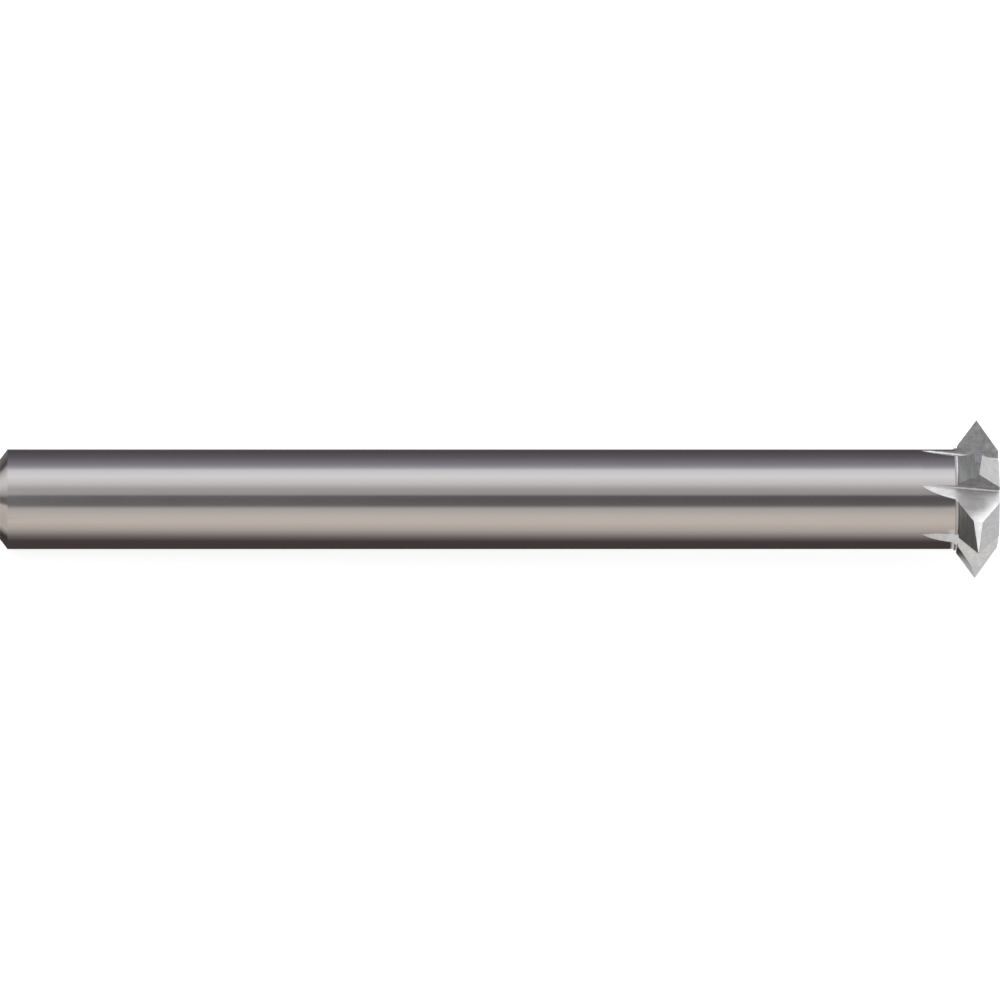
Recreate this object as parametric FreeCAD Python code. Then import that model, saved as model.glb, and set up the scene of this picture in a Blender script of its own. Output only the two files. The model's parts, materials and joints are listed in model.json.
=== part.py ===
"""Solid carbide thread mill: a cylindrical shank and a head of V-shaped teeth, ground from one bar.

The tool is first shaped along +X, with its axis on X and its rear end face at x = 0. It is then
rolled, tilted and lifted to lie as it rests on a table: on two tooth tips and on the lower rear edge
of the shank. Lengths are millimetres and angles are degrees.
"""

import FreeCAD, Part
import math
import os

# Shank
overall_length = 63.5
shank_diameter = 6.35
rear_chamfer_length = 0.5
rear_chamfer_depth = 0.66
collar_width = 0.22
collar_height = 0.08

# Head
tip_diameter = 10.29
head_length = 2.6
tip_setback = 1.4
rear_half_angle = 36.6
front_half_angle = 35.7

# Teeth
tooth_count = 6
land_width = 1.69
crest_relief_angle = 34.3
side_relief_angle = 17.5
radial_rake_angle = 5.1
axial_rake_angle = 2.4

# Flutes: the rake face is the wall, then a flat floor, then a ramp up to the heel of the tooth ahead
flute_length = 5.0
floor_width = 0.9
floor_incline_angle = 6.3
floor_roll_angle = 5.0
foot_radius = 0.1
ramp_blend_length = 0.35

# What the ground head blank has beyond its tips, and how far a cutter runs past what it removes
blank_allowance = 0.2
cutter_overrun = 1.5

shank_radius = shank_diameter / 2
tip_radius = tip_diameter / 2
shoulder_x = overall_length - head_length
tip_x = overall_length - tip_setback
pitch_angle = 360 / tooth_count

ORIGIN = FreeCAD.Vector(0, 0, 0)
X_AXIS = FreeCAD.Vector(1, 0, 0)
Y_AXIS = FreeCAD.Vector(0, 1, 0)
Z_AXIS = FreeCAD.Vector(0, 0, 1)


def sine(angle):
    return math.sin(math.radians(angle))


def cosine(angle):
    return math.cos(math.radians(angle))


def tangent(angle):
    return math.tan(math.radians(angle))


# The first tooth points along +Z. It cuts towards -Y, and its body trails towards +Y.
# On its rake face, inward runs from the tip towards the axis, and along runs to the front end.
tip = FreeCAD.Vector(tip_x, 0, tip_radius)
inward = FreeCAD.Vector(0, -sine(radial_rake_angle), -cosine(radial_rake_angle))
along = FreeCAD.Vector(1, -tangent(axial_rake_angle), 0).normalize()


def turned(profile):
    """A solid of revolution about the tool axis, from the (x, radius) corners of its half section."""
    corners = [FreeCAD.Vector(x, 0, radius) for x, radius in profile]
    half_section = Part.Face(Part.makePolygon(corners + corners[:1]))
    return half_section.revolve(ORIGIN, X_AXIS, 360)


def shank():
    """The bar, chamfered at its rear end, with a fine raised collar where the head begins."""
    return turned([
        (0, 0),
        (0, shank_radius - rear_chamfer_depth),
        (rear_chamfer_length, shank_radius),
        (shoulder_x - collar_width, shank_radius),
        (shoulder_x - collar_width / 2, shank_radius + collar_height),
        (shoulder_x, shank_radius),
        (shoulder_x, 0),
    ])


def head_blank():
    """The disc that the teeth are ground from, a little larger than the circle of the tips."""
    radius = tip_radius + blank_allowance
    return turned([
        (shoulder_x, 0),
        (shoulder_x, radius),
        (overall_length, radius),
        (overall_length, 0),
    ])


def flank_cutter(cutting_edge, trail):
    """A block outside the plane that holds the tip, a cutting edge and the way its flank trails."""
    outward = cutting_edge.cross(trail).normalize()
    if outward.z < 0:
        outward = outward.negative()
    size = 2 * tip_diameter
    block = Part.makeBox(size, size, size, FreeCAD.Vector(-size / 2, -size / 2, 0))
    block.Placement = FreeCAD.Placement(tip, FreeCAD.Rotation(Z_AXIS, outward))
    return block


def flank_cutters():
    """One cutter for each flank, so that the flat flanks fall away behind the two cutting edges."""
    rear_edge = inward * cosine(rear_half_angle) - along * sine(rear_half_angle)
    front_edge = inward * cosine(front_half_angle) + along * sine(front_half_angle)
    relief = tangent(side_relief_angle)
    return [
        flank_cutter(rear_edge, FreeCAD.Vector(relief, 1, 0)),
        flank_cutter(front_edge, FreeCAD.Vector(-relief, 1, 0)),
    ]


def crest_cutter():
    """A block on the sloping land behind the tip. It ends in the open flute behind the heel."""
    down_land = FreeCAD.Vector(0, cosine(crest_relief_angle), -sine(crest_relief_angle))
    outward = FreeCAD.Vector(0, sine(crest_relief_angle), cosine(crest_relief_angle))
    start = FreeCAD.Vector(shoulder_x - cutter_overrun, tip.y, tip.z)
    far = start + down_land * (land_width / cosine(crest_relief_angle) + blank_allowance)
    corners = [start, far, far + outward * tip_radius, start + outward * tip_radius]
    land = Part.Face(Part.makePolygon(corners + corners[:1]))
    return land.extrude(X_AXIS * (head_length + 2 * cutter_overrun))


def rounded_wire(corners):
    """A closed wire through (point, setback) corners.

    An arc rounds each corner between the two points a setback away from it. A setback of 0 leaves
    the corner sharp.
    """
    ends = []
    arcs = []
    for index, (point, setback) in enumerate(corners):
        back = (corners[index - 1][0] - point).normalize()
        forth = (corners[(index + 1) % len(corners)][0] - point).normalize()
        start = point + back * setback
        end = point + forth * setback
        ends.append((start, end))
        if setback:
            half_angle = back.getAngle(forth) / 2
            reach = setback * (1 - math.sin(half_angle)) / math.cos(half_angle)
            middle = point + (back + forth).normalize() * reach
            arcs.append(Part.Arc(start, middle, end).toShape())
    lines = [
        Part.makeLine(ends[index - 1][1], ends[index][0])
        for index in range(len(corners))
    ]
    return Part.Wire(Part.__sortEdges__(lines + arcs))


def flute_cutter():
    """The space ahead of the first tooth's rake face, swept along the inclined floor.

    Its outline stands in the plane of the tips. It runs down the rake face to the foot, along the
    flat floor, which rises a little, and up a ramp that meets the heel of the tooth ahead.
    """
    floor_z = shank_radius - (flute_length - tip_setback) * tangent(floor_incline_angle)
    foot = tip + inward * ((tip_radius - floor_z) / cosine(radial_rake_angle))
    foot_setback = foot_radius / tangent((90 + radial_rake_angle - floor_roll_angle) / 2)
    across_floor = FreeCAD.Vector(0, -cosine(floor_roll_angle), sine(floor_roll_angle))
    ramp_foot = foot + across_floor * floor_width
    heel = FreeCAD.Vector(tip_x, land_width, tip_radius - land_width * tangent(crest_relief_angle))
    heel = FreeCAD.Rotation(X_AXIS, pitch_angle).multVec(heel)
    up_ramp = (heel - ramp_foot).normalize()
    outline = rounded_wire([
        (tip - inward * cutter_overrun, 0),
        (foot, foot_setback),
        (ramp_foot, ramp_blend_length),
        (heel + up_ramp * tip_radius, 0),
    ])
    sweep = along + inward * tangent(floor_incline_angle)
    start = sweep * ((tip_setback - flute_length - cutter_overrun) / sweep.x)
    outline.translate(start)
    return Part.Face(outline).extrude(sweep * ((flute_length + 2 * cutter_overrun) / sweep.x))


def around(cutter):
    """A cutter's copies, one for each tooth."""
    for index in range(tooth_count):
        copy = cutter.copy()
        copy.rotate(ORIGIN, X_AXIS, index * pitch_angle)
        yield copy


def tool_on_axis():
    """The whole tool along +X, with the first tooth pointing up."""
    head = head_blank()
    for cutter in flank_cutters() + [crest_cutter()]:
        for copy in around(cutter):
            head = head.cut(copy)
    tool = shank().fuse(head)
    for copy in around(flute_cutter()):
        tool = tool.cut(copy)
    return tool.removeSplitter()


def laid_down(tool):
    """The tool at rest, its origin below the middle of its box, at table height.

    Two tips stand half a pitch each side of straight down. They and the lower edge of the rear
    chamfer touch the table, so the axis rises by a small tilt towards the head.
    """
    tool.rotate(ORIGIN, X_AXIS, 180 + pitch_angle / 2)
    tip_drop = tip_radius * cosine(pitch_angle / 2)
    tilt = math.degrees(math.atan2(tip_drop - shank_radius, tip_x - rear_chamfer_length))
    tool.rotate(ORIGIN, Y_AXIS, -tilt)
    lift = shank_radius * cosine(tilt) - rear_chamfer_length * sine(tilt)
    box = tool.optimalBoundingBox(False)
    tool.translate(FreeCAD.Vector(-box.Center.x, -box.Center.y, lift))
    print(f"tilt {tilt:.4f}, lift {lift:.4f}, rear end centre x {-box.Center.x:.4f}")
    return tool


os.makedirs("parts", exist_ok=True)
thread_mill = laid_down(tool_on_axis())
thread_mill.exportStep("parts/thread_mill.step")
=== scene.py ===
"""Thread mill: the ground surfaces of a solid carbide thread mill, and a plain studio to show it in.

The tool is worked out in its own frame, along +X from its rear end face, with the first tooth's tip
on +Z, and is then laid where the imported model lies. Lengths there are metres and angles are radians.
"""

import json
import math

import bpy
import numpy as np
from mathutils import Matrix


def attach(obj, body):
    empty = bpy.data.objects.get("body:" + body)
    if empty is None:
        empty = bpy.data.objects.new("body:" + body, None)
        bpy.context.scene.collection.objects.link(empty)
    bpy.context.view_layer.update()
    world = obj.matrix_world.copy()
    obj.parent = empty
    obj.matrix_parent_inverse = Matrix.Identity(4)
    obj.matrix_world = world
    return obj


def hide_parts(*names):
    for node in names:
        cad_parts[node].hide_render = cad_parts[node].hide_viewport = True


bl_info = {
    "name": "Thread mill",
    "version": (1, 0, 0),
    "blender": (4, 5, 0),
    "location": "View3D > Sidebar > Thread Mill",
    "description": "Builds a ground carbide thread mill and its studio",
    "category": "Add Mesh",
}

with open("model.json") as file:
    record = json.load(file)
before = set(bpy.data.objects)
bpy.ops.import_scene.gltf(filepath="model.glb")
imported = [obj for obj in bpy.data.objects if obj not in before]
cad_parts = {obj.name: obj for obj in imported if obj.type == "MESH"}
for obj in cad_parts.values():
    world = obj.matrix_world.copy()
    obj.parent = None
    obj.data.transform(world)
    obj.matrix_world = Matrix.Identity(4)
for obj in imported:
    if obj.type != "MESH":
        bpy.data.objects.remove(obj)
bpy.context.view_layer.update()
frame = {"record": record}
MOUNTS = {mount["name"]: mount for mount in frame["record"]["mounts"]}
REAR_CENTRE = np.array(MOUNTS["rear_face"]["pos_m"])
TOOL_AXIS = -np.array(MOUNTS["rear_face"]["axis"])
SHANK_RADIUS = MOUNTS["shank"]["dims"]["r_mm"] / 1000
TOOL_TILT = math.asin(TOOL_AXIS[2])

# Columns across each surface, from one tooth's rake face round to the tooth ahead
RAKE_COLUMNS = 5
FOOT_COLUMNS = 18
FLOOR_COLUMNS = 8
BLEND_COLUMNS = 9
RAMP_COLUMNS = 8
CREST_COLUMNS = 10
FLANK_COLUMNS = 22

# Rows along the tool
SHANK_ROWS = 10
RUN_OUT_ROWS = 70
FLANK_ROWS = 22
CAP_ROWS = 8

# Section of the collar: shares of its width and of its height
COLLAR_SHARES = (0, 0.1, 0.3, 0.5, 0.7, 0.9, 1)
COLLAR_HEIGHTS = (0, 0.7, 0.93, 1, 0.93, 0.7, 0)

# How closely the run-out's rows crowd towards the shank, and how finely paths and stations are found
RUN_OUT_CROWDING = 1.6
PATH_SAMPLES = 400
HALVINGS = 60
MERGE_DISTANCE = 2e-7
SHARP_ANGLE = math.radians(4.6)

# Finish of each face, as the material's place on the mesh. On the head a row's finish is by column
POLISHED, RAKE, FLUTE, CREST, REAR_FLANK, FRONT_FLANK, END_FACE, COLLAR = range(8)
BY_COLUMN = -1

# Ground finishes in the order above, after the polished one: name, colour, roughness, grinding lines
# in a millimetre, contrast, bump, and the share of the pattern that is a soft mottle
# The rake's and the rear flank's colours carry painted shade, and the flute's painted light
GROUND_FINISHES = [
    ("ground_rake", "rake", 0.34, 9.0, 2.2, 0.25, 0.6),
    ("ground_flute", "flute", 0.46, 7.0, 0.9, 0.05, 0.6),
    ("ground_crest", "honed", 0.18, 14.0, 0.3, 0.05, 0.5),
    ("ground_rear_flank", "relieved", 0.36, 9.0, 1.7, 0.25, 0.2),
    ("ground_front_flank", "ground", 0.36, 9.0, 0.8, 0.2, 0.4),
    ("ground_end_face", "ground", 0.30, 18.0, 0.6, 0.2, 0.5),
    ("ground_collar", "ground", 0.45, 20.0, 0.3, 0.1, 0.5),
]

# On all of them: how far the lines are drawn out, the darkest and lightest shares of the colour, how
# much the roughness follows the pattern, and the lines' depth in metres. A noise has its repeats in
# a unit of its place (a metre, or a millimetre on the brush), its finer layers and their strength
LINE_DRAW = 0.35
DARK_SHARE = 0.72
LIGHT_SHARE = 1.24
ROUGHNESS_SPREAD = 0.16
LINE_DEPTH = 0.00001
LINE_NOISE = (1.0, 4.0, 0.65)
MOTTLE_NOISE = (2400.0, 3.0, 0.6)

# Lean of the grinding lines on a front flank, and their shift from each tooth to the next in metres
FRONT_LINE_LEAN = math.radians(-32)
TOOTH_SHIFT = 0.0173

# Polished shank: roughness and its spreads, the shares of the colour, the rings' share in the pattern,
# how far the rings are drawn out, rings in a millimetre, and their bump and its depth in metres
POLISH_ROUGHNESS = 0.10
POLISH_SHARES = (0.97, 1.03)
RING_SHARE = 0.6
RING_SPREAD = 0.05
CLOUD_SPREAD = 0.03
RING_DRAW = 0.12
RING_LINES = 26.0
RING_BUMP = 0.02
RING_DEPTH = 0.000005
RING_NOISE = (1.0, 3.0, 0.6)
CLOUD_NOISE = (160.0, 2.0, 0.5)

# Painted reflection of the floor that the metal sees, with painted shadow under and behind the tool: metres
# across the tool from its axis, and linear colour
FLOOR_REACH = 0.020
PAINTED_FLOOR_BANDS = [
    (-0.020, (0.78, 0.72, 0.66)),
    (-0.0125, (0.70, 0.64, 0.59)),
    (-0.0090, (0.59, 0.55, 0.51)),
    (-0.0068, (0.40, 0.38, 0.36)),
    (-0.0052, (0.21, 0.19, 0.18)),
    (-0.0040, (0.09, 0.072, 0.072)),
    (0.0, (0.055, 0.043, 0.044)),
    (0.0050, (0.10, 0.09, 0.09)),
    (0.0100, (0.20, 0.19, 0.19)),
    (0.0150, (0.18, 0.17, 0.17)),
    (0.020, (0.10, 0.09, 0.10)),
]

# Round the head the painted reflection turns to painted light: metres along the tool, half width across it,
# and how fast the light part narrows past that
HEAD_FLOOR = (0.0289, 0.0291)
HEAD_FLOOR_HALF_WIDTH = 0.010
HEAD_FLOOR_SPREAD = 0.6
HEAD_PAINTED_LIGHT_TONE = (0.78, 0.78, 0.78)

# Past the rear end the painted reflection of the floor has its own bands of painted light and shade, by
# metres from the origin. Behind the tool it keeps its painted shade, up to a distance
REAR_FLOOR = (0.0325, 0.0340)
REAR_REACH = 0.0950
REAR_PAINTED_BANDS = [
    (0.0335, (0.055, 0.043, 0.044)),
    (0.0352, (0.62, 0.57, 0.53)),
    (0.0470, (0.72, 0.66, 0.61)),
    (0.0500, (0.17, 0.155, 0.165)),
    (0.0590, (0.17, 0.155, 0.165)),
    (0.0630, (0.45, 0.44, 0.43)),
    (0.0800, (0.70, 0.69, 0.68)),
    (0.0950, (0.95, 0.93, 0.95)),
]
# Across the tool and past the rear end: where the painted shade behind the tool begins, and where it ends
REAR_PAINTED_SHADE = (0.006, 0.010)
REAR_PAINTED_SHADE_END = (0.052, 0.060)

# The floor as the camera sees it: diffuse colour, which takes the shadow, and its own glow
FLOOR_SHOWN = (0.5, 0.5, 0.5)
FLOOR_GLOW = 0.86
WHITE = (1.0, 1.0, 1.0)

# The studio's light by its angle over the tool, from the front horizon over the top to the back
# one, in degrees, and its linear colour
FIRST_ANGLE = -90
STUDIO_BANDS = [
    (-90, (0.74, 0.69, 0.64)),
    (4, (0.74, 0.69, 0.64)),
    (20, (0.58, 0.56, 0.54)),
    (28, (0.17, 0.155, 0.16)),
    (40, (0.125, 0.115, 0.12)),
    (49.5, (0.14, 0.13, 0.14)),
    (53.5, (0.42, 0.41, 0.40)),
    (66, (0.54, 0.52, 0.53)),
    (78, (0.82, 0.80, 0.82)),
    (96, (1.02, 1.02, 1.04)),
    (112, (0.90, 0.88, 0.93)),
    (121, (0.46, 0.45, 0.51)),
    (130, (0.30, 0.29, 0.34)),
    (155, (0.16, 0.14, 0.17)),
    (180, (0.11, 0.10, 0.12)),
    (270, (0.10, 0.09, 0.10)),
]

# How strong the studio's light is by the share of its direction that runs along the tool
STUDIO_SIDES = [(-1.0, 0.5), (-0.3, 0.9), (0.0, 1.0), (0.07, 1.0), (0.2, 1.1), (1.0, 1.2)]

# Light panels, placed by shares of their direction along the tool, towards the back and up: a low one
# beyond the head, one in front past the rear end, one in the far rear corner, and a high one at the
# back a little past the head
SIDE_PANEL_ALONG = (0.45, 0.75)
SIDE_PANEL_UP = (0.30, 0.55)
SIDE_PANEL_TONE = (1.32, 1.32, 1.34)
FRONT_PANEL_ALONG = (0.022, 0.050)
FRONT_PANEL_NEAR = (0.35, 0.55)
FRONT_PANEL_TONE = (0.82, 0.82, 0.82)
CORNER_PANEL = (0.3, 0.5)
CORNER_PANEL_TONE = (1.35, 1.35, 1.35)
FLUTE_PANEL_ALONG = (0.07, 0.17)
FLUTE_PANEL_END = (0.30, 0.50)
FLUTE_PANEL_BACK = (0.15, 0.40)
FLUTE_PANEL_UP = (0.2, 0.4)
FLUTE_PANEL_TONE = (3.0, 3.0, 3.0)

# Places of the colour sockets on a Mix node
MIX_FACTOR, MIX_FIRST, MIX_SECOND, MIX_RESULT = 0, 6, 7, 2

SENSOR_WIDTH = 36.0


def length(name, description, default):
    """A size in metres that a user can change."""
    return bpy.props.FloatProperty(
        name=name, description=description, default=default, min=0.0, precision=5,
        subtype="DISTANCE", unit="LENGTH",
    )


def angle(name, description, degrees):
    """An angle that a user can change, with its default in degrees."""
    return bpy.props.FloatProperty(
        name=name, description=description, default=math.radians(degrees), subtype="ANGLE",
        unit="ROTATION",
    )


def colour(name, description, default):
    """A linear colour that a user can change."""
    return bpy.props.FloatVectorProperty(
        name=name, description=description, default=default, size=3, min=0.0, max=1.0,
        subtype="COLOR",
    )


class ToolSizes(bpy.types.PropertyGroup):
    """The sizes that the grinder sets."""

    overall_length: length("Overall length", "From the rear face to the front face", 0.0635)
    rear_chamfer_length: length("Rear chamfer length", "Along the axis", 0.0005)
    rear_chamfer_depth: length("Rear chamfer depth", "Across the axis", 0.00066)
    collar_width: length("Collar width", "Along the axis, up to the head", 0.00022)
    collar_height: length("Collar height", "Above the shank", 0.00008)
    tip_radius: length("Tip radius", "From the axis to a tooth's tip", 0.005145)
    head_length: length("Head length", "From the shoulder to the front face", 0.0026)
    tip_setback: length("Tip setback", "From the front face back to the tips", 0.0014)
    rear_half_angle: angle("Rear half angle", "Between the rear cutting edge and the tip line", 36.6)
    front_half_angle: angle("Front half angle", "Between the front cutting edge and the tip line", 35.7)
    tooth_count: bpy.props.IntProperty(
        name="Tooth count", description="Teeth round the head", default=6, min=2,
    )
    land_width: length("Land width", "From a tip back to its heel", 0.00169)
    crest_relief: angle("Crest relief", "Fall of the land behind a tip", 34.3)
    side_relief: angle("Side relief", "Fall of a flank behind its cutting edge", 17.5)
    radial_rake: angle("Radial rake", "Lean of the rake face across the axis", 5.1)
    axial_rake: angle("Axial rake", "Lean of the rake face along the axis", 2.4)
    flute_length: length("Flute length", "From the front face to the run-out", 0.005)
    floor_width: length("Floor width", "From the foot of the rake face to the ramp", 0.0009)
    floor_incline: angle("Floor incline", "Slope of the flute floor along the tool", 6.3)
    floor_roll: angle("Floor roll", "Rise of the flute floor away from the rake face", 5.0)
    foot_radius: length("Foot radius", "Where the rake face meets the floor", 0.0001)
    ramp_blend_length: length("Ramp blend length", "Where the floor turns into the ramp", 0.00035)


class ToolColours(bpy.types.PropertyGroup):
    """The colours of the carbide's ground surfaces, with painted shade in the rake faces' and rear flanks'
    colours and painted light in the flutes' colour.
    """

    polished: colour("Polished shank", "Cylindrically ground and polished carbide", (0.62, 0.60, 0.59))
    ground: colour("Ground flanks", "Ground carbide", (0.60, 0.60, 0.60))
    # Painted shade: darker than the other ground carbide, for the shade on the rake faces
    rake: colour("Rake faces", "Coarser ground carbide", (0.42, 0.42, 0.42))
    # Painted light: lighter than the other ground carbide, for the light in the flutes
    flute: colour("Flutes", "Finely ground carbide", (0.78, 0.78, 0.78))
    # Painted shade: the rear flanks' carbide is darker than the front flanks' for the shade on them
    relieved: colour("Relieved flank", "Coarser ground carbide on the rear flanks", (0.39, 0.40, 0.40))
    honed: colour("Honed crest", "The narrow land behind each tip", (0.62, 0.62, 0.62))


class StudioSettings(bpy.types.PropertyGroup):
    """The studio round the tool."""

    camera_distance: length("Camera distance", "From the tool's axis to the camera", 1.2)
    camera_station: length("Camera station", "Where along the tool the camera stands square to it", 0.002)
    camera_elevation: angle("Camera elevation", "Above the horizon, about the tool's axis", 42.3)
    picture_width: length("Picture width", "Width of the picture at the tool's axis", 0.0636)
    picture_centre: length("Picture centre", "From the rear face to the picture's centre", 0.03182)
    picture_drop: length("Picture drop", "How far the picture's centre lies below the tool's axis", 0.00005)
    card_foot: bpy.props.FloatVectorProperty(
        name="Card's foot", description="The spot on the tool that the card lights", size=3,
        default=(0.03240, -0.00457, 0.0053), precision=5, subtype="TRANSLATION", unit="LENGTH",
    )
    card_distance: length("Card distance", "From its spot on the tool", 0.025)
    card_elevation: angle("Card elevation", "Above the horizon", 26.0)
    card_width: length("Card width", "Along the tool", 0.0024)
    card_height: length("Card height", "Across the tool", 0.007)
    card_light: bpy.props.FloatProperty(
        name="Card light", description="Brightness of the card", default=2.7, min=0.0,
    )
    floor_size: length("Floor size", "Side of the square floor", 3.0)
    floor_colour: colour("Floor", "Pale floor, as the lamps and the metal see it", (0.80, 0.77, 0.73))


def rotated(points, turn):
    """Points turned about the tool axis from +Z towards -Y.

    y' = y cos t - z sin t and z' = y sin t + z cos t.
    """
    x, y, z = np.moveaxis(np.asarray(points, float), -1, 0)
    c, s = math.cos(turn), math.sin(turn)
    return np.stack([x, y * c - z * s, y * s + z * c], -1)


def unit(vector):
    """A vector divided by its length."""
    vector = np.asarray(vector, float)
    return vector / np.linalg.norm(vector)


def outward(normal):
    """A unit normal on the side away from the axis, for a surface of the tooth on +Z."""
    return unit(normal) * np.sign(normal[2])


class Grinding:
    """The planes and paths that shape one tooth and the flute ahead of it."""

    def __init__(self, sizes):
        self.sizes = sizes
        self.pitch = 2 * math.pi / sizes.tooth_count
        self.front_x = sizes.overall_length
        self.shoulder_x = sizes.overall_length - sizes.head_length
        self.tip_x = sizes.overall_length - sizes.tip_setback
        self.tip = np.array([self.tip_x, 0, sizes.tip_radius])
        self.inward = np.array([0, -math.sin(sizes.radial_rake), -math.cos(sizes.radial_rake)])
        self.along = unit([1, -math.tan(sizes.axial_rake), 0])
        self.sweep = self.along + self.inward * math.tan(sizes.floor_incline)
        self.rear_edge = self.edge(-sizes.rear_half_angle)
        self.front_edge = self.edge(sizes.front_half_angle)
        relief = math.tan(sizes.side_relief)
        self.rear_trail = unit([relief, 1, 0])
        self.front_trail = unit([-relief, 1, 0])
        self.crest_trail = np.array([0, math.cos(sizes.crest_relief), -math.sin(sizes.crest_relief)])
        self.rear_normal = outward(np.cross(self.rear_edge, self.rear_trail))
        self.front_normal = outward(np.cross(self.front_edge, self.front_trail))
        self.crest_normal = np.array([0, math.sin(sizes.crest_relief), math.cos(sizes.crest_relief)])
        self.path, self.marks = self.flute_path()

    def edge(self, half_angle):
        """The direction of a cutting edge: inward along the rake face, leaning along the tool."""
        return self.inward * math.cos(half_angle) + self.along * math.sin(half_angle)

    def flute_path(self):
        """The flute's outline in the plane of the tips, as (y, z) points, and where its parts meet.

        It is a line down the rake face, an arc at the foot, the flat floor, the arc of the blend and
        a line up the ramp. An arc from a to b about a corner c is the circle through a and b that is
        tangent to both lines: centre + radius (cos t, sin t).
        """
        sizes = self.sizes
        floor_z = SHANK_RADIUS - (sizes.flute_length - sizes.tip_setback) * math.tan(sizes.floor_incline)
        drop = (sizes.tip_radius - floor_z) / math.cos(sizes.radial_rake)
        foot = (self.tip + self.inward * drop)[1:]
        floor_way = np.array([-math.cos(sizes.floor_roll), math.sin(sizes.floor_roll)])
        ramp_foot = foot + floor_way * sizes.floor_width
        heel = rotated([0, sizes.land_width, self.heel_height()], self.pitch)[1:]
        up_rake = -self.inward[1:]
        up_ramp = unit(heel - ramp_foot)
        foot_corner = math.pi / 2 + sizes.radial_rake - sizes.floor_roll
        foot_setback = sizes.foot_radius / math.tan(foot_corner / 2)
        blend = sizes.ramp_blend_length
        self.ramp_normal = outward(np.cross(self.sweep, [0, *up_ramp]))
        self.ramp_point = np.array([self.tip_x, *ramp_foot])
        parts = [
            line(foot + up_rake * sizes.tip_radius, foot + up_rake * foot_setback, PATH_SAMPLES),
            arc(foot + up_rake * foot_setback, foot, foot + floor_way * foot_setback, FOOT_COLUMNS),
            line(foot + floor_way * foot_setback, ramp_foot - floor_way * blend, PATH_SAMPLES),
            arc(ramp_foot - floor_way * blend, ramp_foot, ramp_foot + up_ramp * blend, BLEND_COLUMNS),
            line(ramp_foot + up_ramp * blend, ramp_foot + up_ramp * sizes.tip_radius, PATH_SAMPLES),
        ]
        points = np.concatenate([part[:-1] for part in parts] + [parts[-1][-1:]])
        steps = np.linalg.norm(np.diff(points, axis=0), axis=1)
        distance = np.concatenate([[0], np.cumsum(steps)])
        joints = np.cumsum([0] + [len(part) - 1 for part in parts])
        return (distance, points), distance[joints]

    def heel_height(self):
        """Height of the heel above the axis, in the plane of the tips."""
        return self.sizes.tip_radius - self.sizes.land_width * math.tan(self.sizes.crest_relief)

    def shift(self, stations):
        """How far the flute's outline moves in y and z from the plane of the tips to each station."""
        return np.outer(stations - self.tip_x, self.sweep[1:] / self.sweep[0])

    def plane_radius(self, normal, turn, stations, bearing):
        """Radius at which a ray leaves through a plane of the tooth turned by turn.

        The ray starts on the axis at a station, at a bearing from +Z towards -Y. The radius is
        (n.tip - n_x x) / (n_z cos b - n_y sin b), for b measured from that tooth, and it is without
        limit where the ray never meets the plane.
        """
        b = bearing - turn
        facing = normal[2] * np.cos(b) - normal[1] * np.sin(b)
        level = normal @ self.tip - normal[0] * stations
        with np.errstate(divide="ignore", invalid="ignore"):
            radius = level / facing
        return np.where((facing > 1e-6) & (level > 0), radius, np.where(level > 0, np.inf, 0))

    def flank_normal(self, stations):
        """The rear flank's normal behind the tip and the front flank's ahead of it, as rows."""
        rear = (stations < self.tip_x)[:, None]
        return np.where(rear, self.rear_normal, self.front_normal)

    def head_radius(self, stations, bearing, turn, with_crest):
        """The ground head's radius near one tooth, the least of its planes' radii."""
        radius = np.minimum(
            self.plane_radius(self.rear_normal, turn, stations, bearing),
            self.plane_radius(self.front_normal, turn, stations, bearing),
        )
        if with_crest:
            radius = np.minimum(radius, self.plane_radius(self.crest_normal, turn, stations, bearing))
        return radius

    def shank_radius(self, stations):
        """The turned part's radius: chamfer, cylinder, and a collar with a rounded top."""
        sizes = self.sizes
        chamfer = SHANK_RADIUS - sizes.rear_chamfer_depth * (1 - stations / sizes.rear_chamfer_length)
        share = (stations - self.shoulder_x + sizes.collar_width) / sizes.collar_width
        collar = sizes.collar_height * np.interp(share, COLLAR_SHARES, COLLAR_HEIGHTS)
        return np.minimum(chamfer, SHANK_RADIUS) + collar


def line(start, end, count):
    """Points on a straight line: start + t (end - start), for t from 0 to 1."""
    share = np.linspace(0, 1, count)[:, None]
    return start + share * (end - start)


def arc(start, corner, end, count):
    """Points on the arc that rounds a corner, from start to end.

    Its centre lies on the corner's bisector, where the normal to the first line at start meets it,
    and the point turns about that centre at an even rate.
    """
    back, forth = unit(start - corner), unit(end - corner)
    half = math.acos(np.clip(back @ forth, -1, 1)) / 2
    reach = np.linalg.norm(start - corner) / math.cos(half)
    centre = corner + unit(back + forth) * reach
    first, last = start - centre, end - centre
    sweep = math.atan2(first[0] * last[1] - first[1] * last[0], first @ last)
    turn = np.linspace(0, 1, count) * sweep
    c, s = np.cos(turn), np.sin(turn)
    return centre + np.stack([c * first[0] - s * first[1], s * first[0] + c * first[1]], -1)


def between(start, end, count):
    """Rows of points from start up to end in equal steps, without the end, for arrays of both."""
    share = np.linspace(0, 1, count + 1)[:-1]
    return start[:, None] + share[None, :, None] * (end - start)[:, None]


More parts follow.
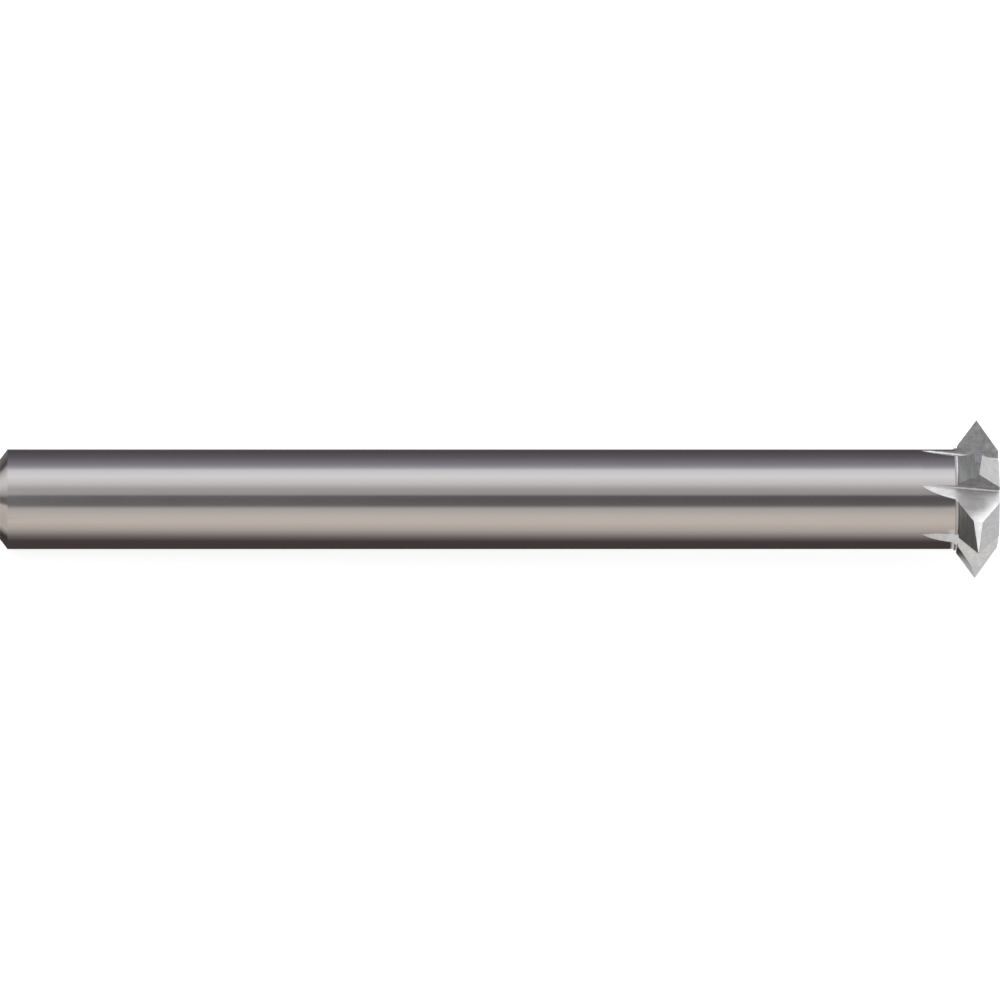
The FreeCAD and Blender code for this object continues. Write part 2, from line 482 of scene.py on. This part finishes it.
def cut_ends(grinding, stations, limit):
    """Where the flute's outline enters and leaves the metal at each station, as path distances.

    The outline is sampled finely. It lies in the metal where its distance from the axis is less
    than limit(station, bearing, first half), and each end is found between two samples by a
    straight-line estimate. Where it misses the metal both ends are its nearest point to the axis.
    """
    distance, points = grinding.path
    placed = points[None] + grinding.shift(stations)[:, None]
    radius = np.linalg.norm(placed, axis=-1)
    bearing = np.arctan2(-placed[..., 0], placed[..., 1])
    nearest = radius.argmin(1)
    rows = np.arange(len(stations))
    index = np.arange(len(distance))[None]
    first_half = index <= nearest[:, None]
    depth = limit(stations[:, None], bearing, first_half) - radius
    inside = depth > 0
    empty = ~inside[rows, nearest]
    enter = np.where(first_half & ~inside, index, -1).max(1)
    leave = np.where(~first_half & ~inside, index, len(distance)).min(1)
    enter = np.clip(enter, 0, len(distance) - 2)
    leave = np.clip(leave, 1, len(distance) - 1)

    def crossing(a, b):
        da, db = depth[rows, a], depth[rows, b]
        share = np.clip(da / np.where(np.abs(da - db) > 1e-12, da - db, 1), 0, 1)
        return distance[a] + share * (distance[b] - distance[a])

    start = np.where(empty, distance[nearest], crossing(enter, enter + 1))
    end = np.where(empty, distance[nearest], crossing(leave - 1, leave))
    return start, end


def flute_rows(grinding, stations, start, end):
    """The flute's own columns at each station, from the rake face to the end of the ramp."""
    distance, points = grinding.path
    marks = np.clip(grinding.marks[None], start[:, None], end[:, None])
    marks[:, 0], marks[:, -1] = start, end
    counts = [RAKE_COLUMNS, FOOT_COLUMNS - 1, FLOOR_COLUMNS, BLEND_COLUMNS - 1, RAMP_COLUMNS]
    steps = [
        marks[:, i, None] + np.linspace(0, 1, n + 1)[None, :-1] * (marks[:, i + 1] - marks[:, i])[:, None]
        for i, n in enumerate(counts)
    ]
    where = np.concatenate(steps + [marks[:, -1:]], axis=1)
    offset = grinding.shift(stations)
    y = np.interp(where, distance, points[:, 0]) + offset[:, None, 0]
    z = np.interp(where, distance, points[:, 1]) + offset[:, None, 1]
    x = np.broadcast_to(stations[:, None], y.shape)
    return np.stack([x, y, z], -1)


def shank_sector(grinding, stations):
    """Rows of one pitch of the shank: the flute's run-out, then the cylinder up to the next flute.

    Behind the run-out the flute's columns close up on the point where it first touches.
    """
    radius = grinding.shank_radius(stations)
    cut = np.maximum(stations, run_out_start(grinding))
    start, end = cut_ends(grinding, cut, lambda x, bearing, first: grinding.shank_radius(x))
    flute = flute_rows(grinding, cut, start, end)
    flute[..., 0] = stations[:, None]
    reach = np.linalg.norm(flute[..., 1:], axis=-1)
    flute[..., 1:] *= np.minimum(1, radius[:, None] / reach)[..., None]
    columns = CREST_COLUMNS + FLANK_COLUMNS
    low = np.arctan2(-flute[:, -1, 1], flute[:, -1, 2])
    high = np.arctan2(-flute[:, 0, 1], flute[:, 0, 2]) + grinding.pitch
    bearing = low[:, None] + np.linspace(0, 1, columns + 1)[None, 1:] * (high - low)[:, None]
    x = np.broadcast_to(stations[:, None], bearing.shape)
    land = np.stack([x, -radius[:, None] * np.sin(bearing), radius[:, None] * np.cos(bearing)], -1)
    return np.concatenate([flute, land[:, :-1]], axis=1)


def head_sector(grinding, stations):
    """Rows of one pitch of the head: the flute, then the crest and a flank of the tooth ahead.

    The crest and the flank meet on a straight line, where both planes hold at the station. Where
    that line lies behind the heel, the crest's columns close up on the heel.
    """

    def limit(x, bearing, first):
        own = grinding.head_radius(x, bearing, 0, False)
        ahead = grinding.head_radius(x, bearing, grinding.pitch, True)
        return np.where(first, own, ahead)

    start, end = cut_ends(grinding, stations, limit)
    flute = flute_rows(grinding, stations, start, end)
    heel = flute[:, -1]
    edge = rotated(flute[:, 0], grinding.pitch)
    flank = grinding.flank_normal(stations)
    crest = grinding.crest_normal
    level = flank @ grinding.tip - flank[:, 0] * stations
    crest_level = crest @ grinding.tip
    determinant = flank[:, 1] * crest[2] - flank[:, 2] * crest[1]
    y = (level * crest[2] - crest_level * flank[:, 2]) / determinant
    z = (flank[:, 1] * crest_level - crest[1] * level) / determinant
    ridge = rotated(np.stack([stations, y, z], -1), grinding.pitch)
    heel_bearing = np.arctan2(-heel[:, 1], heel[:, 2])
    ridge_bearing = np.arctan2(-ridge[:, 1], ridge[:, 2])
    ridge = np.where((ridge_bearing > heel_bearing)[:, None], ridge, heel)
    crest_rows = between(heel, ridge, CREST_COLUMNS)[:, 1:]
    flank_rows = between(ridge, edge, FLANK_COLUMNS)
    return np.concatenate([flute, crest_rows, flank_rows], axis=1)


def heel_stations(grinding):
    """Stations at which the crest's two long edges reach the heel, where three planes meet."""
    found = []
    ramp = rotated(grinding.ramp_normal, -grinding.pitch)
    ramp_point = rotated(grinding.ramp_point, -grinding.pitch)
    for flank in (grinding.rear_normal, grinding.front_normal):
        planes = np.array([flank, grinding.crest_normal, ramp])
        levels = [flank @ grinding.tip, grinding.crest_normal @ grinding.tip, ramp @ ramp_point]
        found.append(np.linalg.solve(planes, levels)[0])
    return found


def spaced(start, end, count, power=1.0):
    """Stations from start to end. A power over 1 draws them together at the start."""
    return start + (end - start) * np.linspace(0, 1, count) ** power


def run_out_start(grinding):
    """The station at which the flute's outline first touches the shank's cylinder, by halving."""
    points = grinding.path[1]
    low, high = grinding.sizes.rear_chamfer_length, grinding.shoulder_x
    for _ in range(HALVINGS):
        middle = (low + high) / 2
        reach = np.linalg.norm(points + grinding.shift(np.array([middle])), axis=1).min()
        low, high = (middle, high) if reach > SHANK_RADIUS else (low, middle)
    return high


def tool_rings(grinding):
    """Every row of one pitch of the tool, from the centre of the rear face to that of the front."""
    sizes = grinding.sizes
    touch = run_out_start(grinding)
    collar_x = grinding.shoulder_x - sizes.collar_width
    shank = np.concatenate([
        [0],
        spaced(sizes.rear_chamfer_length, touch, SHANK_ROWS)[:-1],
        spaced(touch, collar_x, RUN_OUT_ROWS, RUN_OUT_CROWDING)[:-1],
        collar_x + sizes.collar_width * np.array(COLLAR_SHARES),
    ])
    first, last = heel_stations(grinding)
    head = np.unique(np.concatenate([
        spaced(grinding.shoulder_x, first, FLANK_ROWS // 2),
        spaced(first, grinding.tip_x, FLANK_ROWS // 2),
        spaced(grinding.tip_x, last, FLANK_ROWS // 2),
        spaced(last, grinding.front_x, FLANK_ROWS // 2),
    ]))
    shank_rows = shank_sector(grinding, shank)
    head_rows = head_sector(grinding, head)
    return closed(shank_rows[0])[::-1], shank_rows, head_rows, closed(head_rows[-1])


def closed(ring):
    """Rows that shrink a ring on to the axis, so that an end face is closed at its centre."""
    share = np.linspace(1, 0, CAP_ROWS)[1:, None, None]
    centre = np.array([ring[0, 0], 0, 0])
    return centre + share * (ring - centre)


def grid_triangles(points):
    """Two triangles for each cell of a grid of points that closes round its columns.

    The corners run so that they turn anticlockwise seen from outside, with rows along +X and
    columns from +Z towards -Y.
    """
    rows, columns = points.shape[:2]
    i, j = np.meshgrid(np.arange(rows - 1), np.arange(columns), indexing="ij")
    k = (j + 1) % columns
    a, b = i * columns + j, i * columns + k
    c, d = (i + 1) * columns + k, (i + 1) * columns + j
    return np.stack([np.stack([a, c, d], -1), np.stack([a, b, c], -1)], 2).reshape(-1, 3), i, j


def finishes(grinding, sections, i, column):
    """The finish of each cell, from its row i and from its column within one pitch.

    The end faces, the shank and the collar have one finish round the tool, apart from the flutes
    that cut them. On the head the finish goes by column, and a flank's by its side of the tip.
    """
    stations = np.concatenate([section[:, 0, 0] for section in sections])
    shank_start = len(sections[0])
    head_start = shank_start + len(sections[1])
    head_end = head_start + len(sections[2])
    by_row = np.full(len(stations), END_FACE)
    by_row[shank_start:head_start - 1] = POLISHED
    by_row[head_start - len(COLLAR_SHARES):head_start - 1] = COLLAR
    by_row[head_start:head_end - 1] = BY_COLUMN
    flute_end = RAKE_COLUMNS + FOOT_COLUMNS + FLOOR_COLUMNS + BLEND_COLUMNS + RAMP_COLUMNS - 2
    behind_tip = stations[i] < grinding.tip_x - MERGE_DISTANCE
    by_column = np.select(
        [column < RAKE_COLUMNS, column < flute_end, column < flute_end + CREST_COLUMNS, behind_tip],
        [RAKE, FLUTE, CREST, REAR_FLANK],
        FRONT_FLANK,
    )
    in_shank_flute = (i >= shank_start) & (i < head_start - 1) & (column < flute_end)
    return np.where(in_shank_flute | (by_row[i] == BY_COLUMN), by_column, by_row[i])


def welded(points, triangles):
    """Points with doubles merged, the triangles on them, and which triangles kept three corners."""
    _, first_use, merged = np.unique(
        np.round(points / MERGE_DISTANCE).astype(np.int64), axis=0, return_index=True, return_inverse=True,
    )
    corners = merged.ravel()[triangles]
    whole = (corners != np.roll(corners, 1, axis=1)).all(axis=1)
    return points[first_use], corners[whole], whole


def brush_ways(grinding):
    """For each flat finish, the way along its grinding lines and the way across them."""
    up_rear = unit(np.cross(grinding.rear_normal, [1, 0, 0]))
    lean = rotated_about(grinding.front_normal, up_of(grinding.front_normal), FRONT_LINE_LEAN)
    return {
        RAKE: (grinding.along, grinding.inward),
        FLUTE: (unit(grinding.sweep), np.array([0, -1, 0])),
        CREST: (np.array([1, 0, 0]), grinding.crest_trail),
        REAR_FLANK: (up_rear, unit(np.cross(grinding.rear_normal, up_rear))),
        FRONT_FLANK: (lean, unit(np.cross(grinding.front_normal, lean))),
    }


def up_of(normal):
    """The way up a slope from the tool's axis, within the plane with this normal."""
    return unit(np.cross(normal, np.cross([0, 0, 1], normal)))


def rotated_about(axis, vector, turn):
    """A vector turned about a unit axis: v cos t + (axis x v) sin t, for v square to the axis."""
    return vector * math.cos(turn) + np.cross(axis, vector) * math.sin(turn)


def laid_down(grinding, points):
    """Tool-frame points in the row frame: rolled so that two tips point down, tilted and moved."""
    rolled = rotated(points, math.pi + grinding.pitch / 2)
    c, s = math.cos(TOOL_TILT), math.sin(TOOL_TILT)
    x, y, z = np.moveaxis(rolled, -1, 0)
    return np.stack([x * c - z * s, y, x * s + z * c], -1) + REAR_CENTRE


def build_tool(sizes, materials):
    """One closed mesh of the whole tool, with a finish on each face and brush coordinates."""
    grinding = Grinding(sizes)
    sections = tool_rings(grinding)
    pitch_rows = np.concatenate(sections)
    columns = pitch_rows.shape[1]
    teeth = range(sizes.tooth_count)
    points = np.concatenate([rotated(pitch_rows, tooth * grinding.pitch) for tooth in teeth], axis=1)
    triangles, i, j = grid_triangles(points)
    finish = np.repeat(finishes(grinding, sections, i, j % columns).ravel(), 2)
    tooth = np.repeat((j // columns).ravel(), 2)
    vertices, corners, whole = welded(points.reshape(-1, 3), triangles)
    finish = finish[whole]
    brush = brush_coordinates(grinding, vertices[corners], finish, tooth[whole])

    mesh = bpy.data.meshes.new("thread_mill_ground")
    mesh.vertices.add(len(vertices))
    mesh.vertices.foreach_set("co", laid_down(grinding, vertices).astype(np.float32).ravel())
    mesh.loops.add(corners.size)
    mesh.loops.foreach_set("vertex_index", corners.astype(np.int32).ravel())
    mesh.polygons.add(len(corners))
    mesh.polygons.foreach_set("loop_start", np.arange(0, corners.size, 3, dtype=np.int32))
    mesh.polygons.foreach_set("material_index", finish.astype(np.int32))
    mesh.polygons.foreach_set("use_smooth", np.ones(len(corners), bool))
    layer = mesh.uv_layers.new(name="brush")
    mesh.update(calc_edges=True)
    layer.data.foreach_set("uv", brush.astype(np.float32).ravel())
    mesh.validate()
    mesh.set_sharp_from_angle(angle=SHARP_ANGLE)
    for material in materials:
        mesh.materials.append(material)
    return mesh


def brush_coordinates(grinding, spot, finish, tooth):
    """Brush coordinates of every triangle's corners, in millimetres.

    A ground face has (p . along, p . across) in its own tooth's frame. The shank and the collar have
    (bearing, x) and the end faces (bearing, radius), as they are ground round the axis.
    """
    owner = np.where(np.isin(finish, (RAKE, FLUTE)), tooth, tooth + 1)[:, None]
    c, s = np.cos(-owner * grinding.pitch), np.sin(-owner * grinding.pitch)
    x, y, z = np.moveaxis(spot, -1, 0)
    local = np.stack([x, y * c - z * s, y * s + z * c], -1)
    bearing = np.arctan2(-y, z)
    bearing = bearing[:, :1] + np.angle(np.exp(1j * (bearing - bearing[:, :1])))
    across = np.where((finish == END_FACE)[:, None], np.hypot(y, z), x)
    brush = np.stack([bearing * SHANK_RADIUS, across], -1)
    for ground, (line_way, across_way) in brush_ways(grinding).items():
        flat = np.stack([local @ line_way + owner * TOOTH_SHIFT, local @ across_way], -1)
        brush = np.where((finish == ground)[:, None, None], flat, brush)
    return brush * 1000


class Value:
    """A shader socket that takes part in Python expressions and adds its Math nodes."""

    def __init__(self, shader, socket):
        self.shader = shader
        self.socket = socket

    def math(self, operation, *others):
        return self.shader.node("ShaderNodeMath", {"operation": operation}, [self, *others])

    def __add__(self, other):
        return self.math("ADD", other)

    def __radd__(self, other):
        return self.math("ADD", other)

    def __sub__(self, other):
        return self.math("SUBTRACT", other)

    def __rsub__(self, other):
        return self.shader.node("ShaderNodeMath", {"operation": "SUBTRACT"}, [other, self])

    def __mul__(self, other):
        return self.math("MULTIPLY", other)

    def __rmul__(self, other):
        return self.math("MULTIPLY", other)

    def clamped(self):
        return self.shader.node("ShaderNodeClamp", {}, [self])


class Shader:
    """The node tree of a material or of the world."""

    def __init__(self, tree):
        self.tree = tree
        tree.nodes.clear()

    def node(self, kind, settings=None, inputs=(), output=0):
        """A node of this kind with these settings, fed by values or links, as one of its outputs."""
        node = self.tree.nodes.new(kind)
        for name, value in (settings or {}).items():
            if name == "ramp":
                self.set_ramp(node.color_ramp, value)
            else:
                setattr(node, name, value)
        named = inputs.items() if isinstance(inputs, dict) else enumerate(inputs)
        for name, value in named:
            if isinstance(value, Value):
                self.tree.links.new(value.socket, node.inputs[name])
            else:
                node.inputs[name].default_value = value
        return Value(self, node.outputs[output]) if node.outputs else None

    @staticmethod
    def set_ramp(ramp, stops):
        """Gives a colour ramp its stops, each a position and a linear colour."""
        while len(ramp.elements) > 1:
            ramp.elements.remove(ramp.elements[-1])
        for index, (position, shade) in enumerate(stops):
            stop = ramp.elements[0] if index == 0 else ramp.elements.new(position)
            stop.position = position
            stop.color = (*shade, 1.0)

    def parts(self, vector):
        """The X, Y and Z of a vector."""
        return [self.node("ShaderNodeSeparateXYZ", {}, [vector], axis) for axis in "XYZ"]

    def smooth(self, value, low, high):
        """0 below low and 1 above high, with an even turn between them."""
        return self.node("ShaderNodeMapRange", {"interpolation_type": "SMOOTHSTEP"}, {
            "Value": value, "From Min": low, "From Max": high,
        })

    def mix(self, factor, first, second):
        """A colour between first and second."""
        return self.node("ShaderNodeMix", {"data_type": "RGBA"}, {
            MIX_FACTOR: factor, MIX_FIRST: first, MIX_SECOND: second,
        }, MIX_RESULT)

    def ramp(self, share, stops):
        """The colour of a ramp with these stops at a share."""
        return self.node("ShaderNodeValToRGB", {"ramp": stops}, [share.clamped()])

    def noise(self, vector, scale, detail, roughness):
        """Noise from 0 to 1 at a place, with its repeats in a unit and its finer layers."""
        return self.node("ShaderNodeTexNoise", {}, {
            "Vector": vector, "Scale": scale, "Detail": detail, "Roughness": roughness,
        })

    def brush(self, draw, lines):
        """The brush coordinates, drawn out along the grinding lines and closed up across them."""
        place = self.node("ShaderNodeUVMap", {"uv_map": "brush"})
        return self.node("ShaderNodeMapping", {}, {"Vector": place, "Scale": (draw, lines, 1.0)})

    def metal(self, tone, roughness, height, bump, depth):
        """A metal's surface with this colour, roughness and relief, linked to the output."""
        relief = self.node("ShaderNodeBump", {}, {"Strength": bump, "Distance": depth, "Height": height})
        self.surface("ShaderNodeOutputMaterial", self.node("ShaderNodeBsdfPrincipled", {}, {
            "Base Color": tone, "Metallic": 1.0, "Roughness": roughness, "Normal": relief,
        }))

    def glow(self, shade, strength=1.0):
        """Light given off in this colour."""
        return self.node("ShaderNodeEmission", {}, {"Color": shade, "Strength": strength})

    def ray(self, kind):
        """1 for a ray of this kind and 0 for any other."""
        return self.node("ShaderNodeLightPath", {}, output=f"Is {kind} Ray")

    def seen(self, plain, white):
        """Plain to the light and the metal, and white to the camera."""
        pale = (self.ray("Camera") + self.ray("Transmission")).clamped()
        return self.node("ShaderNodeMixShader", {}, [pale, plain, white])

    def surface(self, output, shader):
        """Links the last shader to the tree's output node."""
        self.node(output, {}, {"Surface": shader})


def new_material(name):
    """A material with an empty node tree, and its tree."""
    material = bpy.data.materials.new(name)
    material.use_nodes = True
    return material, Shader(material.node_tree)


def rgba(shade, level=1.0):
    """A colour times a level, with an alpha of 1."""
    return (*(channel * level for channel in shade), 1.0)


def ground_material(name, shade, roughness, lines, contrast, bump, mottle):
    """Ground carbide: fine lines along the brush coordinates over a soft mottle.

    Lines are noise that runs slowly along the brush and quickly across it. Both patterns shade the
    colour and the roughness, and the lines make a fine bump too.
    """
    material, shader = new_material(name)
    grain = shader.noise(shader.brush(LINE_DRAW, lines), *LINE_NOISE)
    spot = shader.node("ShaderNodeTexCoord", {}, output="Object")
    cloud = shader.noise(spot, *MOTTLE_NOISE)
    pattern = (grain - 0.5) * 2.0 * (1 - mottle) + (cloud - 0.5) * 2.0 * mottle
    level = (pattern * contrast + 0.5).clamped()
    tone = shader.mix(level, rgba(shade, DARK_SHARE), rgba(shade, LIGHT_SHARE))
    rough = (pattern * ROUGHNESS_SPREAD + roughness).clamped()
    shader.metal(tone, rough, grain, bump, LINE_DEPTH)
    return material


def polished_material(shade):
    """The polished shank: a near mirror with faint rings left by cylindrical grinding."""
    material, shader = new_material("polished_carbide")
    rings = shader.noise(shader.brush(RING_DRAW, RING_LINES), *RING_NOISE)
    spot = shader.node("ShaderNodeTexCoord", {}, output="Object")
    cloud = shader.noise(spot, *CLOUD_NOISE)
    level = (rings * RING_SHARE + cloud * (1 - RING_SHARE)).clamped()
    tone = shader.mix(level, *(rgba(shade, share) for share in POLISH_SHARES))
    rough = (rings - 0.5) * RING_SPREAD + (cloud - 0.5) * CLOUD_SPREAD + POLISH_ROUGHNESS
    shader.metal(tone, rough, rings, RING_BUMP, RING_DEPTH)
    return material


def floor_material(shade):
    """A pale floor: white to the camera, with the tool's soft shadow, and a painted reflection in soft
    bands to the metal.

    What the metal sees runs from the warm pale floor in front of the tool to a painted shadow under
    and behind it. It has painted light round the head, and past the rear end it has painted bands along x.
    """
    material, shader = new_material("pale_floor")
    along, across, _ = shader.parts(shader.node("ShaderNodeTexCoord", {}, output="Object"))
    stops = [(y / FLOOR_REACH / 2 + 0.5, tone) for y, tone in PAINTED_FLOOR_BANDS]
    # The painted reflection: painted shadow under and behind the tool, warm pale in front
    painted_reflection = shader.ramp(across * (0.5 / FLOOR_REACH) + 0.5, stops)
    apart = (across.math("ABSOLUTE") - HEAD_FLOOR_HALF_WIDTH).math("MAXIMUM", 0.0)
    near_head = shader.smooth(along - apart * HEAD_FLOOR_SPREAD, *HEAD_FLOOR)
    painted_reflection = shader.mix(near_head, painted_reflection, rgba(HEAD_PAINTED_LIGHT_TONE))
    beyond = 0 - along
    rear = shader.ramp(beyond * (1 / REAR_REACH), [(x / REAR_REACH, tone) for x, tone in REAR_PAINTED_BANDS])
    # Painted shade behind the tool, kept past the rear end up to a distance
    painted_shade_back = shader.smooth(across, *REAR_PAINTED_SHADE) * (1 - shader.smooth(beyond, *REAR_PAINTED_SHADE_END))
    painted_reflection = shader.mix(shader.smooth(beyond, *REAR_FLOOR) * (1 - painted_shade_back), painted_reflection, rear)
    lit = shader.node("ShaderNodeBsdfDiffuse", {}, {"Color": rgba(shade)})
    # Glossy rays see the painted reflection as a glow instead of the lit floor
    plain = shader.node("ShaderNodeMixShader", {}, [shader.ray("Glossy"), lit, shader.glow(painted_reflection)])
    shown = shader.node("ShaderNodeBsdfDiffuse", {}, {"Color": rgba(FLOOR_SHOWN)})
    white = shader.node("ShaderNodeAddShader", {}, [shown, shader.glow(rgba(WHITE), FLOOR_GLOW)])
    shader.surface("ShaderNodeOutputMaterial", shader.seen(plain, white))
    return material


def studio_world():
    """Soft light from all round, in long bands that lie along the tool, with a pale background.

    The bands follow the angle over the tool, and their strength how far a direction runs along it.
    Four light panels are laid over them.
    """
    world = bpy.data.worlds.new("studio")
    world.use_nodes = True
    bpy.context.scene.world = world
    shader = Shader(world.node_tree)
    along, back, up = shader.parts(shader.node("ShaderNodeTexCoord", {}, output="Generated"))
    turn = up.math("ARCTAN2", 0 - back).math("WRAP", 1.5 * math.pi, -0.5 * math.pi)
    stops = [((degrees - FIRST_ANGLE) / 360, tone) for degrees, tone in STUDIO_BANDS]
    light = shader.ramp(turn * (1 / math.tau) - FIRST_ANGLE / 360, stops)
    sides = [((x + 1) / 2, (level / 2,) * 3) for x, level in STUDIO_SIDES]
    level = shader.ramp(along * 0.5 + 0.5, sides) * 2.0
    side = shader.smooth(along, *SIDE_PANEL_ALONG) * (1 - shader.smooth(up, *SIDE_PANEL_UP))
    light = shader.mix(side, light, rgba(SIDE_PANEL_TONE))
    flute = shader.smooth(along, *FLUTE_PANEL_ALONG) * shader.smooth(back, *FLUTE_PANEL_BACK)
    flute = flute * shader.smooth(up, *FLUTE_PANEL_UP) * (1 - shader.smooth(along, *FLUTE_PANEL_END))
    light = shader.mix(flute, light, rgba(FLUTE_PANEL_TONE))
    front = shader.smooth(0 - along, *FRONT_PANEL_ALONG) * shader.smooth(0 - back, *FRONT_PANEL_NEAR)
    light = shader.mix(front, light, rgba(FRONT_PANEL_TONE))
    corner = shader.smooth(0 - along, *CORNER_PANEL) * shader.smooth(back, *CORNER_PANEL)
    light = shader.mix(corner, light, rgba(CORNER_PANEL_TONE))
    studio = shader.node("ShaderNodeBackground", {}, {"Color": light, "Strength": level})
    white = shader.node("ShaderNodeBackground", {}, {"Color": rgba(WHITE), "Strength": 1.0})
    shader.surface("ShaderNodeOutputWorld", shader.seen(studio, white))


def add_camera(settings):
    """A long lens, rolled so that the tool's axis is level in the picture.

    It stands square to the axis at its own station, on a line that leans up from -Y about the
    axis, and turns from there to face the middle of the picture.
    """
    level = np.array([-math.sin(TOOL_TILT), 0, math.cos(TOOL_TILT)])
    c, s = math.cos(settings.camera_elevation), math.sin(settings.camera_elevation)
    out = np.array([0, -c, 0]) + s * level
    up = np.array([0, s, 0]) + c * level
    middle = REAR_CENTRE - up * settings.picture_drop
    target = middle + TOOL_AXIS * settings.picture_centre
    stand = middle + TOOL_AXIS * settings.camera_station + out * settings.camera_distance
    back = unit(stand - target)
    right = np.cross(up, back)
    data = bpy.data.cameras.new("camera")
    data.sensor_width = SENSOR_WIDTH
    data.lens = data.sensor_width * settings.camera_distance / settings.picture_width
    data.clip_start = 0.01
    data.clip_end = 10.0
    camera = bpy.data.objects.new("camera", data)
    bpy.context.collection.objects.link(camera)
    matrix = np.eye(4)
    matrix[:3, 0], matrix[:3, 1], matrix[:3, 2] = right, up, back
    matrix[:3, 3] = stand
    camera.matrix_world = Matrix(matrix.tolist())
    bpy.context.scene.camera = camera


def add_card(settings):
    """A small reflector in front of the head, seen only in the metal, that lights the honed land.

    It is a rectangle square to the way the camera's line of sight leaves the land.
    """
    elevation = settings.card_elevation
    out = np.array([0, -math.cos(elevation), math.sin(elevation)])
    middle = np.array(settings.card_foot) + out * settings.card_distance
    half_width = np.array([settings.card_width / 2, 0, 0])
    half_height = unit(np.cross(half_width, out)) * settings.card_height / 2
    corners = [middle + u * half_width + v * half_height for u, v in ((-1, -1), (1, -1), (1, 1), (-1, 1))]
    mesh = bpy.data.meshes.new("land_card")
    mesh.from_pydata([tuple(corner) for corner in corners], [], [(0, 1, 2, 3)])
    material, shader = new_material("land_card")
    shader.surface("ShaderNodeOutputMaterial", shader.glow(rgba(WHITE), settings.card_light))
    mesh.materials.append(material)
    card = bpy.data.objects.new("land_card", mesh)
    bpy.context.collection.objects.link(card)
    for sight in ("camera", "diffuse", "transmission", "volume_scatter", "shadow"):
        setattr(card, f"visible_{sight}", False)


def add_floor(settings):
    """A flat square floor at table height: (u, v, 0) for u and v from -half to half its side."""
    half = settings.floor_size / 2
    u, v = np.meshgrid(np.linspace(-half, half, 3), np.linspace(-half, half, 3))
    vertices = np.stack([u.ravel(), v.ravel(), np.zeros(u.size)], -1)
    faces = [(i * 3 + j, i * 3 + j + 1, i * 3 + j + 4, i * 3 + j + 3) for i in range(2) for j in range(2)]
    mesh = bpy.data.meshes.new("studio_floor")
    mesh.from_pydata(vertices.tolist(), [], faces)
    mesh.materials.append(floor_material(settings.floor_colour))
    floor = bpy.data.objects.new("studio_floor", mesh)
    bpy.context.collection.objects.link(floor)


class THREADMILL_OT_tool(bpy.types.Operator):
    """Grind the thread mill: shank, collar, teeth and flutes in one piece"""

    bl_idname = "threadmill.tool"
    bl_label = "Thread mill"

    def execute(self, context):
        colours = context.scene.threadmill_colours
        materials = [polished_material(colours.polished)]
        for name, colour_name, *finish in GROUND_FINISHES:
            materials.append(ground_material(name, getattr(colours, colour_name), *finish))
        mesh = build_tool(context.scene.threadmill_sizes, materials)
        tool = bpy.data.objects.new("ground_thread_mill", mesh)
        context.collection.objects.link(tool)
        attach(tool, "root")
        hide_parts("thread_mill")
        return {"FINISHED"}


class THREADMILL_OT_studio(bpy.types.Operator):
    """Set up the pale floor, the soft light and the camera"""

    bl_idname = "threadmill.studio"
    bl_label = "Studio"

    def execute(self, context):
        settings = context.scene.threadmill_studio
        context.scene.view_settings.view_transform = "Standard"
        studio_world()
        add_floor(settings)
        add_camera(settings)
        add_card(settings)
        return {"FINISHED"}


class THREADMILL_PT_panel(bpy.types.Panel):
    """Sizes, colours and the studio, with a button for each step"""

    bl_label = "Thread mill"
    bl_idname = "THREADMILL_PT_panel"
    bl_space_type = "VIEW_3D"
    bl_region_type = "UI"
    bl_category = "Thread Mill"

    def draw(self, context):
        groups = (
            (context.scene.threadmill_sizes, "threadmill.tool"),
            (context.scene.threadmill_colours, None),
            (context.scene.threadmill_studio, "threadmill.studio"),
        )
        for group, operator in groups:
            box = self.layout.box()
            for name in group.__annotations__:
                box.prop(group, name)
            if operator:
                box.operator(operator)


CLASSES = (
    ToolSizes, ToolColours, StudioSettings, THREADMILL_OT_tool, THREADMILL_OT_studio, THREADMILL_PT_panel,
)


def register():
    """Adds the classes and their settings to Blender."""
    for cls in CLASSES:
        bpy.utils.register_class(cls)
    bpy.types.Scene.threadmill_sizes = bpy.props.PointerProperty(type=ToolSizes)
    bpy.types.Scene.threadmill_colours = bpy.props.PointerProperty(type=ToolColours)
    bpy.types.Scene.threadmill_studio = bpy.props.PointerProperty(type=StudioSettings)


def unregister():
    """Takes the settings and the classes out again."""
    del bpy.types.Scene.threadmill_studio
    del bpy.types.Scene.threadmill_colours
    del bpy.types.Scene.threadmill_sizes
    for cls in reversed(CLASSES):
        bpy.utils.unregister_class(cls)


def main():
    register()
    bpy.ops.threadmill.studio()
    bpy.ops.threadmill.tool()


if __name__ == "__main__":
    main()
